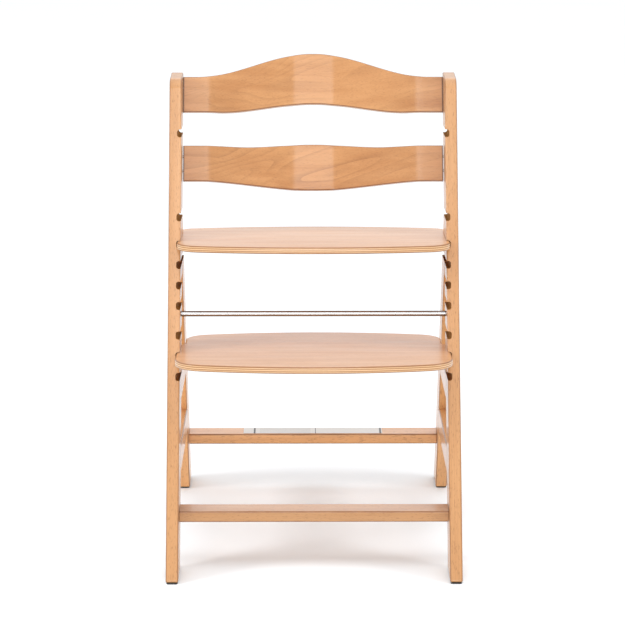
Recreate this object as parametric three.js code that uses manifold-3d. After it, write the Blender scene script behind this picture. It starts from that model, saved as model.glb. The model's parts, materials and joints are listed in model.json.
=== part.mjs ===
// A grow-along baby high chair in solid beech and bent plywood: two lambda-shaped side frames, two
// crossbars, two curved back slats, a seat plate and a foot plate that sit in a ladder of grooves,
// and a steel tie rod. Millimetres, +Z up, the front faces -Y, and -X is called left.
import * as THREE from 'three';
import { mergeVertices } from 'three/addons/utils/BufferGeometryUtils.js';
import Module from 'manifold-3d';

const wasm = await Module();
wasm.setup();

// ---------------------------------------------------------------- driving dimensions
const FIT_GAP = 0.3; // left between pieces that touch
const CUT_OVERRUN = 5; // how far a cutter runs past the wood it cuts

// side frames
const OVERALL_WIDTH = 470;
const BOARD = 20;
const OUTER_X = OVERALL_WIDTH / 2;
const INNER_X = OUTER_X - BOARD;
const POST_LEAN = THREE.MathUtils.degToRad(25.5);
const POST_DEPTH = 66.6; // square to the post
const POST_HEIGHT = 746;
const POST_FRONT_ROUND = 25; // of the upper front corner, seen from the side
const POST_REAR_ROUND = 6;
const LEG_SPLAY = THREE.MathUtils.degToRad(22.3);
const LEG_DEPTH = 60.8; // square to the leg
const LEG_FRONT_AT_FLOOR = 480;
const RAIL_FALL = Math.tan(THREE.MathUtils.degToRad(3));
const RAIL_HEIGHT = 39;
const LOWER_RAIL_BOTTOM = 140; // at the post
const UPPER_RAIL_BOTTOM = 248;
const EDGE_ROUND = 2;

// glides under the four feet
const GLIDE_THICKNESS = 2;
const GLIDE_INSET = 1.2;
const GLIDE_CORNER = 4;
const GLIDE_STUD_RADIUS = 2.5;
const GLIDE_STUD_LENGTH = 10;
const FOOT_Z = GLIDE_THICKNESS + FIT_GAP;

// grooves for the two plates, each given by its height on the post's front face
const GROOVE_TILT = THREE.MathUtils.degToRad(4.5);
const GROOVE_HEIGHT = 12.2;
const GROOVE_DEPTH = 7;
const GROOVE_CORNER = 4;
const GROOVE_PITCH = 30.4;
const LOWER_GROOVES = [0, 1, 2].map((step) => 300.5 + step * GROOVE_PITCH);
const MIDDLE_GROOVES = [0, 1, 2, 3].map((step) => 405 + step * GROOVE_PITCH);
const UPPER_GROOVES = [537, 663.5];
const GROOVES = [...LOWER_GROOVES, ...MIDDLE_GROOVES, ...UPPER_GROOVES];
const LEG_TOP_GROOVES = [MIDDLE_GROOVES[2], MIDDLE_GROOVES[3], UPPER_GROOVES[0]];
const FOOT_GROOVE = LOWER_GROOVES[1];
const SEAT_GROOVE = MIDDLE_GROOVES[3];

// seat plate and foot plate
const PLATE_THICKNESS = 11;
const PLATE_HALF_WIDTH = INNER_X + 5.6;
const PLATE_EDGE_ROUND = 2;
const PLATE_ARC_INSET = 50; // the curved front and rear edges end this far inside the side edges
const PLATE_ARC_SHARES = [0, 0.33, 0.67, 1];
const SEAT_PLATE = { front: 67, rear: 163, arcRadius: 1050, frontCorner: 40, rearCorner: 25 };
const FOOT_PLATE = {
  front: 118,
  rear: 179,
  arcRadius: 820,
  frontCorner: 52,
  rearCorner: 42,
  shoulder: { start: 68, end: 76, round: 4, halfWidth: 210 }, // where it narrows behind the posts
};

// crossbars
const CROSSBAR_HEIGHT = 18;
const CROSSBAR_DEPTH = 38;
const FRONT_CROSSBAR_TOP = 101;
const REAR_CROSSBAR_TOP = 107;
const LABEL = { width: 240, depth: 30, thickness: 0.3, gap: 0.2 };

// back slats, measured up the post from the floor and back from the post's front face
const SLAT_THICKNESS = 10;
const SLAT_SETBACK = 47;
const SLAT_BOW = 30; // how far the middle lies behind the ends
const SLAT_TAB = 36; // flat stretch at each end
const SLAT_FLAT_MIDDLE = 54;
const SLAT_BEND = 14; // the slat bends over this length at both ends of each straight slope
const UPPER_SLAT = {
  bottom: 784,
  top: 844,
  crest: { height: 48, halfWidth: 190 },
  bottomRise: { height: 21.5, halfWidth: 160 },
  gap: FIT_GAP,
};
const LOWER_SLAT = {
  bottom: 667,
  top: 727,
  crest: { height: 9, halfWidth: 125 },
  bottomRise: { height: -8.5, halfWidth: 190 },
  gap: 1.2,
};
const SLAT_WAVE_START = 5;
const SLAT_STEPS = 60;

// tie rod and fasteners
const ROD_RADIUS = 4.5;
const ROD_HEIGHT = 385;
const BOLT = { radius: 3, headRadius: 6, headLength: 4.5, keyRadius: 2.4, keyDepth: 2.5 };
const BOLT_RECESS = 5.5; // how deep the head's bearing face lies in the board
const CROSSBAR_BOLT_REACH = 40; // how far the bolt enters the crossbar
const CROSSBAR_PAIR_SPACING = 17; // from each bolt to the dowel behind it
const CROSSBAR_DOWEL_LENGTH = 30;
const ROD_BOLT_REACH = 22;
const BARREL_NUT_RADIUS = 5;
const BARREL_NUT_LENGTH = 14;
const BARREL_NUT_FROM_END = 32;
const SCREW = { radius: 2.2, headRadius: 4.6, headLength: 3, keyRadius: 1.8, keyDepth: 1.6 };
const SCREW_RECESS = 3.6;
const SCREW_REACH = 27;
const SCREW_SPACING = 24;
const DOWEL_RADIUS = 4;
const DOWEL_LENGTH = 40;
const DOWEL_FROM_OUTER_FACE = 7.5; // clear of the grooves on the inner side
const LEG_DOWEL_SHARES = [0.27, 0.68]; // places along the joint between leg and post
const ROUND_SIDES = 14;
const HEX_SIDES = 6;
const DOWEL_SIDES = 10;
const ARC_STEPS = 3; // half the number of chords in a rounded corner
const GROOVE_ARC_STEPS = 2;
const PLATE_ARC_STEPS = 5;

// ---------------------------------------------------------------- materials
const makeFinish = (color, roughness, metalness) =>
  () => new THREE.MeshStandardMaterial({ color, roughness, metalness });
const beech = makeFinish(0xdca878, 0.5, 0);
const plywood = makeFinish(0xe3bb95, 0.45, 0);
const steel = makeFinish(0xb9b4b2, 0.3, 1);
const darkPlastic = makeFinish(0x3b3230, 0.8, 0);
const paper = makeFinish(0xf2f0ee, 0.6, 0);

// ---------------------------------------------------------------- solids and placing
const chair = new THREE.Group();
const SIDES = [{ name: 'left', sign: -1 }, { name: 'right', sign: 1 }];

function toSolid(geometry) {
  const plain = geometry.index ? geometry.toNonIndexed() : geometry.clone();
  plain.deleteAttribute('normal');
  plain.deleteAttribute('uv');
  const merged = mergeVertices(plain, 1e-4);
  return new wasm.Manifold(new wasm.Mesh({
    numProp: 3,
    vertProperties: new Float32Array(merged.attributes.position.array),
    triVerts: new Uint32Array(merged.index.array),
  }));
}

function toGeometry(solid) {
  const mesh = solid.getMesh();
  const geometry = new THREE.BufferGeometry();
  geometry.setAttribute('position', new THREE.BufferAttribute(mesh.vertProperties, 3));
  geometry.setIndex(new THREE.BufferAttribute(mesh.triVerts, 1));
  return geometry;
}

function cut(geometry, cutters) {
  let solid = toSolid(geometry);
  for (const cutter of cutters) solid = solid.subtract(toSolid(cutter));
  return toGeometry(solid);
}

const join = (first, second) => toGeometry(toSolid(first).add(toSolid(second)));
const overlap = (first, second) => toGeometry(toSolid(first).intersect(toSolid(second)));

function addPiece(name, geometry, material) {
  geometry.computeVertexNormals();
  const mesh = new THREE.Mesh(geometry, material());
  mesh.name = name;
  chair.add(mesh);
}

// ---------------------------------------------------------------- outlines
const subtractPoints = (a, b) => new THREE.Vector2(a.x - b.x, a.y - b.y);

// A closed shape through [x, y, radius] corners, each rounded with an arc of its radius.
function roundedShape(corners) {
  const points = corners.map(([x, y]) => new THREE.Vector2(x, y));
  const shape = new THREE.Shape();
  corners.forEach(([, , radius = 0], index) => {
    const corner = points[index];
    const before = points[(index + points.length - 1) % points.length];
    const after = points[(index + 1) % points.length];
    const back = subtractPoints(before, corner).normalize();
    const ahead = subtractPoints(after, corner).normalize();
    const halfAngle = Math.acos(THREE.MathUtils.clamp(back.dot(ahead), -1, 1)) / 2;
    const goTo = index === 0 ? 'moveTo' : 'lineTo';
    if (radius === 0) {
      shape[goTo](corner.x, corner.y);
      return;
    }
    const reach = radius / Math.tan(halfAngle);
    const toCentre = back.clone().add(ahead).setLength(radius / Math.sin(halfAngle));
    const centre = corner.clone().add(toCentre);
    const start = corner.clone().addScaledVector(back, reach);
    const end = corner.clone().addScaledVector(ahead, reach);
    const clockwise = back.x * ahead.y - back.y * ahead.x > 0;
    shape[goTo](start.x, start.y);
    shape.absarc(
      centre.x,
      centre.y,
      radius,
      Math.atan2(start.y - centre.y, start.x - centre.x),
      Math.atan2(end.y - centre.y, end.x - centre.x),
      clockwise,
    );
  });
  return shape;
}

function rectangle(x0, y0, x1, y1, radius = 0) {
  return roundedShape([[x0, y0, radius], [x1, y0, radius], [x1, y1, radius], [x0, y1, radius]]);
}

const extrude = (shape, depth, options = {}) =>
  new THREE.ExtrudeGeometry(shape, { depth, bevelEnabled: false, curveSegments: ARC_STEPS, ...options });

// A (y, z) outline made into a board between two x values.
const SIDE_BASIS = new THREE.Matrix4().makeBasis(
  new THREE.Vector3(0, 1, 0),
  new THREE.Vector3(0, 0, 1),
  new THREE.Vector3(1, 0, 0),
);
function sideBoard(shape, lowX, thickness) {
  return extrude(shape, thickness).applyMatrix4(SIDE_BASIS).translate(lowX, 0, 0);
}

// A round piece along x, turned from [x, radius] stations; the profile starts and ends on the axis.
function turnedAlongX(stations, sides = ROUND_SIDES) {
  const profile = [
    [stations[0][0], 0],
    ...stations,
    [stations[stations.length - 1][0], 0],
  ].map(([x, radius]) => new THREE.Vector2(radius, x));
  return new THREE.LatheGeometry(profile, sides).rotateZ(-Math.PI / 2);
}

const cylinderAlongX = (length, radius, sides) =>
  turnedAlongX([[0, radius], [length, radius]], sides);

// ---------------------------------------------------------------- lines of the side frame
const postFrontY = (z) => z * Math.tan(POST_LEAN);
const postRearY = (z) => postFrontY(z) + POST_DEPTH / Math.cos(POST_LEAN);
const legFrontY = (z) => LEG_FRONT_AT_FLOOR - z * Math.tan(LEG_SPLAY);
const legRearY = (z) => legFrontY(z) + LEG_DEPTH / Math.cos(LEG_SPLAY);

// The point that lies `up` along the post's front face and `back` square behind it.
const onPost = (up, back) => ({
  y: up * Math.sin(POST_LEAN) + back * Math.cos(POST_LEAN),
  z: up * Math.cos(POST_LEAN) - back * Math.sin(POST_LEAN),
});

const JOINT_GAP = FIT_GAP / Math.cos(POST_LEAN);
const CROTCH_Z = (legFrontY(0) - postRearY(0)) / (Math.tan(POST_LEAN) + Math.tan(LEG_SPLAY));
const LEG_TIP_Z = (legRearY(0) - postRearY(0)) / (Math.tan(POST_LEAN) + Math.tan(LEG_SPLAY));

function postShape() {
  return roundedShape([
    [postFrontY(FOOT_Z), FOOT_Z, EDGE_ROUND],
    [postRearY(FOOT_Z), FOOT_Z, EDGE_ROUND],
    [postRearY(POST_HEIGHT), POST_HEIGHT, POST_REAR_ROUND],
    [postFrontY(POST_HEIGHT), POST_HEIGHT, POST_FRONT_ROUND],
  ]);
}

function legShape() {
  return roundedShape([
    [legFrontY(FOOT_Z), FOOT_Z, EDGE_ROUND],
    [legRearY(FOOT_Z), FOOT_Z, EDGE_ROUND],
    [postRearY(LEG_TIP_Z) + JOINT_GAP, LEG_TIP_Z, EDGE_ROUND],
    [postRearY(CROTCH_Z) + JOINT_GAP, CROTCH_Z],
  ]);
}

// A side rail fills the space between the post's rear and the leg's front.
function railShape(bottomAtPost) {
  const startY = postRearY(bottomAtPost);
  const bottomAt = (y) => bottomAtPost - (y - startY) * RAIL_FALL;
  const meetPost = (above) => {
    const z = (bottomAt(postRearY(0)) + above) / (1 + Math.tan(POST_LEAN) * RAIL_FALL);
    return [postRearY(z) + JOINT_GAP, z];
  };
  const meetLeg = (above) => {
    const z = (bottomAt(legFrontY(0)) + above) / (1 - Math.tan(LEG_SPLAY) * RAIL_FALL);
    return [legFrontY(z) - JOINT_GAP, z];
  };
  return roundedShape([meetPost(0), meetLeg(0), meetLeg(RAIL_HEIGHT), meetPost(RAIL_HEIGHT)]);
}

// ---------------------------------------------------------------- cutters
// One groove, open at the board's inner face, running back from the post's front face.
function grooveCutter(height, side, length) {
  const mouth = side.sign * (INNER_X - CUT_OVERRUN);
  const bottom = side.sign * (INNER_X + GROOVE_DEPTH);
  const half = GROOVE_HEIGHT / 2;
  const section = roundedShape([
    [mouth, -half],
    [bottom, -half, GROOVE_CORNER],
    [bottom, half, GROOVE_CORNER],
    [mouth, half],
  ]);
  return extrude(section, length + CUT_OVERRUN, { curveSegments: GROOVE_ARC_STEPS })
    .rotateX(Math.PI / 2)
    .translate(0, length, 0)
    .rotateX(-GROOVE_TILT)
    .translate(0, postFrontY(height), height);
}

const GROOVE_THROUGH_POST = POST_DEPTH / Math.cos(POST_LEAN) + CUT_OVERRUN;
const GROOVE_THROUGH_LEG = GROOVE_THROUGH_POST + LEG_DEPTH / Math.cos(LEG_SPLAY) + 2 * CUT_OVERRUN;

// A fastener that lies along x: its turned stations run inward from the frame's outer face.
function headedStations(part, recess, length, clearance = 0) {
  const headTop = clearance > 0 ? -CUT_OVERRUN : recess - part.headLength;
  return [
    [headTop, part.headRadius + clearance],
    [recess + clearance, part.headRadius + clearance],
    [recess + clearance, part.radius + clearance],
    [length + clearance, part.radius + clearance],
  ];
}

// Turned stations start at the outer face of a side frame and run towards the middle.
function acrossFrame(geometry, side, place) {
  const turned = side.sign > 0 ? geometry.rotateZ(Math.PI) : geometry;
  return turned.translate(side.sign * OUTER_X, place.y, place.z);
}

function fastener(part, recess, length, side, place) {
  const key = turnedAlongX([[-CUT_OVERRUN, part.keyRadius], [recess - part.headLength + part.keyDepth,
    part.keyRadius]], HEX_SIDES);
  const body = turnedAlongX(headedStations(part, recess, length));
  return acrossFrame(cut(body, [key]), side, place);
}

function fastenerCutter(part, recess, length, side, place) {
  return acrossFrame(turnedAlongX(headedStations(part, recess, length, FIT_GAP)), side, place);
}

// A dowel whose middle is at `place`, lying along a direction in the side frame's plane.
function dowel(side, place, slope, clearance = 0) {
  const length = DOWEL_LENGTH + 2 * clearance;
  return cylinderAlongX(length, DOWEL_RADIUS + clearance, DOWEL_SIDES)
    .translate(-length / 2, 0, 0)
    .rotateZ(Math.PI / 2)
    .rotateX(-slope)
    .translate(side.sign * place.x, place.y, place.z);
}

// The dowel that keeps a crossbar from turning lies half in the side frame and half in the bar.
function crossbarDowel(side, place, clearance = 0) {
  const length = CROSSBAR_DOWEL_LENGTH + 2 * clearance;
  return cylinderAlongX(length, DOWEL_RADIUS + clearance, DOWEL_SIDES)
    .translate(-length / 2, 0, 0)
    .translate(side.sign * INNER_X, place.y, place.z);
}

// A barrel nut stands upright in the crossbar, in a bore that opens at the bar's underside.
function barrelNut(side, place, clearance = 0) {
  const length = BARREL_NUT_LENGTH + clearance + (clearance > 0 ? CUT_OVERRUN : 0);
  const top = place.z + BARREL_NUT_LENGTH / 2 + clearance;
  const radius = BARREL_NUT_RADIUS + clearance;
  return new THREE.CylinderGeometry(radius, radius, length, ROUND_SIDES)
    .rotateX(Math.PI / 2)
    .translate(side.sign * (INNER_X - BARREL_NUT_FROM_END), place.y, top - length / 2);
}

// ---------------------------------------------------------------- places of the hidden joints
const legJointPlaces = LEG_DOWEL_SHARES.map((share) => {
  const z = CROTCH_Z + share * (LEG_TIP_Z - CROTCH_Z);
  return { x: OUTER_X - DOWEL_FROM_OUTER_FACE, y: postRearY(z) + JOINT_GAP / 2, z, slope: POST_LEAN };
});

const railSlope = Math.atan(RAIL_FALL);
function railJointPlaces(bottomAtPost) {
  const startY = postRearY(bottomAtPost);
  const middleAt = (y) => bottomAtPost + RAIL_HEIGHT / 2 - (y - startY) * RAIL_FALL;
  const atPost = middleAt(startY);
  const atLeg = middleAt(legFrontY(atPost));
  const x = OUTER_X - BOARD / 2;
  return {
    post: { x, y: postRearY(atPost), z: atPost, slope: railSlope },
    leg: { x, y: legFrontY(atLeg), z: atLeg, slope: railSlope },
  };
}

const RAILS = [
  { name: 'lower_side_rail', bottom: LOWER_RAIL_BOTTOM },
  { name: 'upper_side_rail', bottom: UPPER_RAIL_BOTTOM },
].map((rail) => ({ ...rail, joints: railJointPlaces(rail.bottom) }));

const crossbarCentre = (top, frontY, rearY) => {
  const z = top - CROSSBAR_HEIGHT / 2;
  return { y: (frontY(z) + rearY(z)) / 2, z };
};
const CROSSBARS = [
  { name: 'front_crossbar', board: 'post', place: crossbarCentre(FRONT_CROSSBAR_TOP, postFrontY, postRearY) },
  { name: 'rear_crossbar', board: 'leg', place: crossbarCentre(REAR_CROSSBAR_TOP, legFrontY, legRearY) },
].map((bar) => ({
  ...bar,
  bolt: { y: bar.place.y - CROSSBAR_PAIR_SPACING / 2, z: bar.place.z },
  dowel: { y: bar.place.y + CROSSBAR_PAIR_SPACING / 2, z: bar.place.z },
}));

const ROD_PLACE = { y: (postFrontY(ROD_HEIGHT) + postRearY(ROD_HEIGHT)) / 2, z: ROD_HEIGHT };

const screwPlaces = (slat) => [-1, 1].map((step) =>
  onPost((slat.bottom + slat.top + step * SCREW_SPACING) / 2, SLAT_SETBACK + SLAT_THICKNESS / 2));
const SLATS = [
  { name: 'upper_back_slat', shape: UPPER_SLAT, screws: screwPlaces(UPPER_SLAT) },
  { name: 'lower_back_slat', shape: LOWER_SLAT, screws: screwPlaces(LOWER_SLAT) },
];
const SCREW_LENGTH = BOARD + FIT_GAP + SCREW_REACH;
const CROSSBAR_BOLT_LENGTH = BOARD + CROSSBAR_BOLT_REACH;
const ROD_BOLT_LENGTH = BOARD + ROD_BOLT_REACH;

// ---------------------------------------------------------------- side frames
const glideShape = (frontY, rearY) =>
  rectangle(INNER_X + GLIDE_INSET, frontY + GLIDE_INSET, OUTER_X - GLIDE_INSET, rearY - GLIDE_INSET,
    GLIDE_CORNER);

function glideStud(frontY, rearY, clearance = 0) {
  return new THREE.CylinderGeometry(
    GLIDE_STUD_RADIUS + clearance,
    GLIDE_STUD_RADIUS + clearance,
    GLIDE_STUD_LENGTH + 2 * clearance,
    ROUND_SIDES,
  )
    .rotateX(Math.PI / 2)
    .translate(INNER_X + BOARD / 2, (frontY + rearY) / 2, GLIDE_STUD_LENGTH / 2 + GLIDE_THICKNESS / 2);
}

const mirroredTo = (side, geometry) => (side.sign > 0 ? geometry : geometry.rotateZ(Math.PI));

const FEET = [
  { name: 'front', front: postFrontY(FOOT_Z), rear: postRearY(FOOT_Z) },
  { name: 'rear', front: legFrontY(FOOT_Z), rear: legRearY(FOOT_Z) },
];

// A left-hand copy is turned half round its own upright middle line, so it stays a proper solid.
function onSide(side, foot, geometry) {
  const middleY = (foot.front + foot.rear) / 2;
  return mirroredTo(side, geometry.translate(0, -middleY, 0)).translate(0, middleY, 0);
}

for (const side of SIDES) {
  const lowX = side.sign > 0 ? INNER_X : -OUTER_X;
  const [frontFoot, rearFoot] = FEET;
  const studHole = (foot) => onSide(side, foot, glideStud(foot.front, foot.rear, FIT_GAP));
  const [frontBar, rearBar] = CROSSBARS;
  const crossbarHoles = (bar) => [
    fastenerCutter(BOLT, BOLT_RECESS, CROSSBAR_BOLT_LENGTH, side, bar.bolt),
    crossbarDowel(side, bar.dowel, FIT_GAP),
  ];
  const dowelHole = (place) => dowel(side, place, place.slope, FIT_GAP);

  const postCutters = [
    ...GROOVES.map((height) => grooveCutter(height, side, GROOVE_THROUGH_POST)),
    ...legJointPlaces.map(dowelHole),
    ...RAILS.map((rail) => dowelHole(rail.joints.post)),
    ...crossbarHoles(frontBar),
    fastenerCutter(BOLT, BOLT_RECESS, ROD_BOLT_LENGTH, side, ROD_PLACE),
    ...SLATS.flatMap((slat) => slat.screws.map((place) =>
      fastenerCutter(SCREW, SCREW_RECESS, SCREW_LENGTH, side, place))),
    studHole(frontFoot),
  ];
  addPiece(`${side.name}_post`, cut(sideBoard(postShape(), lowX, BOARD), postCutters), beech);

  const legCutters = [
    ...LEG_TOP_GROOVES.map((height) => grooveCutter(height, side, GROOVE_THROUGH_LEG)),
    ...legJointPlaces.map(dowelHole),
    ...RAILS.map((rail) => dowelHole(rail.joints.leg)),
    ...crossbarHoles(rearBar),
    studHole(rearFoot),
  ];
  addPiece(`${side.name}_rear_leg`, cut(sideBoard(legShape(), lowX, BOARD), legCutters), beech);

  for (const rail of RAILS) {
    const holes = [dowelHole(rail.joints.post), dowelHole(rail.joints.leg)];
    addPiece(`${side.name}_${rail.name}`, cut(sideBoard(railShape(rail.bottom), lowX, BOARD), holes), beech);
    for (const [end, place] of Object.entries(rail.joints)) {
      addPiece(`${side.name}_${rail.name}_${end}_dowel`, dowel(side, place, place.slope), beech);
    }
  }

  legJointPlaces.forEach((place, index) => {
    addPiece(`${side.name}_leg_dowel_${index + 1}`, dowel(side, place, place.slope), beech);
  });

  for (const foot of FEET) {
    const pad = extrude(glideShape(foot.front, foot.rear), GLIDE_THICKNESS);
    const glide = onSide(side, foot, join(pad, glideStud(foot.front, foot.rear)));
    addPiece(`${side.name}_${foot.name}_glide`, glide, darkPlastic);
  }
}

// ---------------------------------------------------------------- crossbars
for (const bar of CROSSBARS) {
  const { y, z } = bar.place;
  const halfLength = INNER_X - FIT_GAP;
  const halfDepth = CROSSBAR_DEPTH / 2;
  const halfHeight = CROSSBAR_HEIGHT / 2;
  const section = rectangle(y - halfDepth, z - halfHeight, y + halfDepth, z + halfHeight, EDGE_ROUND);
  const cutters = [];
  for (const side of SIDES) {
    const boltHole = fastenerCutter(BOLT, BOLT_RECESS, CROSSBAR_BOLT_LENGTH, side, bar.bolt);
    cutters.push(boltHole, barrelNut(side, bar.bolt, FIT_GAP), crossbarDowel(side, bar.dowel, FIT_GAP));
    const bolt = fastener(BOLT, BOLT_RECESS, CROSSBAR_BOLT_LENGTH, side, bar.bolt);
    addPiece(`${side.name}_${bar.name}_bolt`, bolt, steel);
    addPiece(`${side.name}_${bar.name}_barrel_nut`, cut(barrelNut(side, bar.bolt), [boltHole]), steel);
    addPiece(`${side.name}_${bar.name}_dowel`, crossbarDowel(side, bar.dowel), beech);
  }
  addPiece(bar.name, cut(sideBoard(section, -halfLength, 2 * halfLength), cutters), beech);
}

const rearBarPlace = CROSSBARS[1].place;
addPiece(
  'rear_crossbar_label',
  extrude(rectangle(-LABEL.width / 2, -LABEL.depth / 2, LABEL.width / 2, LABEL.depth / 2), LABEL.thickness)
    .translate(0, rearBarPlace.y, REAR_CROSSBAR_TOP + LABEL.gap),
  paper,
);

// ---------------------------------------------------------------- tie rod
const rodHalf = INNER_X - FIT_GAP;
const rodBlank = cylinderAlongX(2 * rodHalf, ROD_RADIUS, ROUND_SIDES)
  .translate(-rodHalf, ROD_PLACE.y, ROD_PLACE.z);
const rodBores = SIDES.map((side) =>
  fastenerCutter(BOLT, BOLT_RECESS, ROD_BOLT_LENGTH, side, ROD_PLACE));
addPiece('tie_rod', cut(rodBlank, rodBores), steel);
for (const side of SIDES) {
  const bolt = fastener(BOLT, BOLT_RECESS, ROD_BOLT_LENGTH, side, ROD_PLACE);
  addPiece(`${side.name}_tie_rod_bolt`, bolt, steel);
}

// ---------------------------------------------------------------- back slats
// Rises from 0 to 1 over a length, straight but for a round bend at each end.
function bentRise(distance, length, bend) {
  const steepness = 1 / (length - bend);
  if (distance <= 0) return 0;
  if (distance >= length) return 1;
  if (distance < bend) return steepness * distance ** 2 / (2 * bend);
  if (distance > length - bend) return 1 - steepness * (length - distance) ** 2 / (2 * bend);
  return steepness * (distance - bend / 2);
}

// How far the slat's front lies behind the posts' front faces, at a distance x from the middle.
function slatSetback(x) {
  const slopeStart = SLAT_FLAT_MIDDLE / 2;
  const slopeLength = INNER_X - SLAT_TAB - slopeStart;
  const rise = bentRise(Math.abs(x) - slopeStart, slopeLength, SLAT_BEND);
  return SLAT_SETBACK + SLAT_BOW * (1 - rise);
}

// A wave along a slat's edge: its full height in the middle, falling to 0 at its half width.
const waveAt = (x, wave) =>
  wave.height * (1 - THREE.MathUtils.smoothstep(Math.abs(x), SLAT_WAVE_START, wave.halfWidth));

function shapeBetween(halfLength, low, high) {
  const stations = Array.from({ length: SLAT_STEPS + 1 }, (_, step) =>
    halfLength * (2 * step / SLAT_STEPS - 1));
  const outline = stations.map((x) => new THREE.Vector2(x, low(x)));
  outline.push(...stations.reverse().map((x) => new THREE.Vector2(x, high(x))));
  return new THREE.Shape(outline);
}

// Slats are made flat, with x across, y up the post and z towards the front, then leaned back.
const leanOntoPost = (geometry) => geometry.rotateX(Math.PI / 2 - POST_LEAN);

function slatGeometry({ bottom, top, crest, bottomRise, gap }) {
  const halfLength = INNER_X - gap;
  const upright = shapeBetween(
    halfLength,
    (x) => bottom + waveAt(x, bottomRise),
    (x) => top + waveAt(x, crest),
  );
  const fromAbove = shapeBetween(
    halfLength,
    (x) => slatSetback(x),
    (x) => slatSetback(x) + SLAT_THICKNESS,
  );
  const depth = SLAT_SETBACK + SLAT_BOW + SLAT_THICKNESS + CUT_OVERRUN;
  const block = extrude(upright, depth).translate(0, 0, -depth);
  const band = extrude(fromAbove, top + crest.height + CUT_OVERRUN).rotateX(-Math.PI / 2);
  return leanOntoPost(overlap(block, band));
}

for (const slat of SLATS) {
  const cutters = [];
  for (const side of SIDES) {
    slat.screws.forEach((place, index) => {
      cutters.push(fastenerCutter(SCREW, SCREW_RECESS, SCREW_LENGTH, side, place));
      const screw = fastener(SCREW, SCREW_RECESS, SCREW_LENGTH, side, place);
      addPiece(`${side.name}_${slat.name}_screw_${index + 1}`, screw, steel);
    });
  }
  addPiece(slat.name, cut(slatGeometry(slat.shape), cutters), plywood);
}

// ---------------------------------------------------------------- seat plate and foot plate
// The plate's right half is listed from the front middle to the rear middle, then mirrored.
function plateShape({ front, rear, arcRadius, frontCorner, rearCorner, shoulder }) {
  const rearHalfWidth = shoulder ? shoulder.halfWidth : PLATE_HALF_WIDTH;
  const shoulderCorners = shoulder
    ? [[PLATE_HALF_WIDTH, shoulder.start, shoulder.round], [rearHalfWidth, shoulder.end, shoulder.round]]
    : [];
  const arcDrop = (x) => x * x / (2 * arcRadius);
  const arcSteps = PLATE_ARC_SHARES.map((share) => share * (rearHalfWidth - PLATE_ARC_INSET));
  const frontArc = arcSteps.map((x) => [x, arcDrop(x) - front]);
  const rearArc = arcSteps.map((x) => [x, rear - arcDrop(x)]).reverse();
  const rightHalf = [
    ...frontArc,
    [PLATE_HALF_WIDTH, arcDrop(PLATE_HALF_WIDTH) - front, frontCorner],
    ...shoulderCorners,
    [rearHalfWidth, rear - arcDrop(rearHalfWidth), rearCorner],
    ...rearArc,
  ];
  const leftHalf = rightHalf
    .filter(([x]) => x > 0)
    .reverse()
    .map(([x, y, radius]) => [-x, y, radius]);
  return roundedShape([...rightHalf, ...leftHalf]);
}

function addPlate(name, plate, grooveHeight) {
  const inner = PLATE_THICKNESS - 2 * PLATE_EDGE_ROUND;
  const geometry = extrude(plateShape(plate), inner, {
    curveSegments: PLATE_ARC_STEPS,
    bevelEnabled: true,
    bevelThickness: PLATE_EDGE_ROUND,
    bevelSize: PLATE_EDGE_ROUND,
    bevelOffset: -PLATE_EDGE_ROUND,
    bevelSegments: 2,
  })
    .translate(0, 0, -inner / 2)
    .rotateX(-GROOVE_TILT)
    .translate(0, postFrontY(grooveHeight), grooveHeight);
  addPiece(name, geometry, plywood);
}
addPlate('seat_plate', SEAT_PLATE, SEAT_GROOVE);
addPlate('foot_plate', FOOT_PLATE, FOOT_GROOVE);

// ---------------------------------------------------------------- origin
// The origin is on the floor, in the middle of the chair's footprint.
const bounds = new THREE.Box3().setFromObject(chair);
chair.position.y = -(bounds.min.y + bounds.max.y) / 2;

export default chair;
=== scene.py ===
"""Looks of a wooden grow-along high chair: lacquered beech side frames, bent plywood back slats,
plywood seat and foot plates and a steel tie rod, on a pale studio floor. Metres, +Z up, front at -Y."""
import json
import math

import bmesh
import bpy
from mathutils import Matrix, Vector


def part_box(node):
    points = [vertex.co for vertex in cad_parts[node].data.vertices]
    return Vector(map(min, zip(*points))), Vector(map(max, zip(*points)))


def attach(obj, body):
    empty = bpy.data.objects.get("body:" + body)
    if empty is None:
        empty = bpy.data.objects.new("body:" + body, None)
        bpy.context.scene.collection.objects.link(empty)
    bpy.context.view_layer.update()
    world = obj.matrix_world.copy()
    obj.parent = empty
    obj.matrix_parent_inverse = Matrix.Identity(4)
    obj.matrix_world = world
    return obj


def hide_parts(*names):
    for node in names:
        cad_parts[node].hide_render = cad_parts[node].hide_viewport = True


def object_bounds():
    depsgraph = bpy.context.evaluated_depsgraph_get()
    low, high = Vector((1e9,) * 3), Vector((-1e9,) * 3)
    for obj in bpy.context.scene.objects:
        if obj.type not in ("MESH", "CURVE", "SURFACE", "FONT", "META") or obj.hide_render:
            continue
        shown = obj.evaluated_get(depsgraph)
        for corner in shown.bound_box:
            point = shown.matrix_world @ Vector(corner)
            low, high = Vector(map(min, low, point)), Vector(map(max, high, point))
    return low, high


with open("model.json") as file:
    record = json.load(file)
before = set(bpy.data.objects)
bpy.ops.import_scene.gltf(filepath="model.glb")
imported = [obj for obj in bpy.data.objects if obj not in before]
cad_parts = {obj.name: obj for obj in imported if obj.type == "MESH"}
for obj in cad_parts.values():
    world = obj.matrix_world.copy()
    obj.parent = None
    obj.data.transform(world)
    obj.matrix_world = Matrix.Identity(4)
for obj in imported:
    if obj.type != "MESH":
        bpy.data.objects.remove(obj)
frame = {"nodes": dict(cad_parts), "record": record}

CAD_LOW, CAD_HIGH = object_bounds()
NODES = frame["nodes"]
BODY_OF_NODE = {
    node: body
    for body, members in frame["record"]["behaviour"]["bodies"].items()
    for node in members
}

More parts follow.
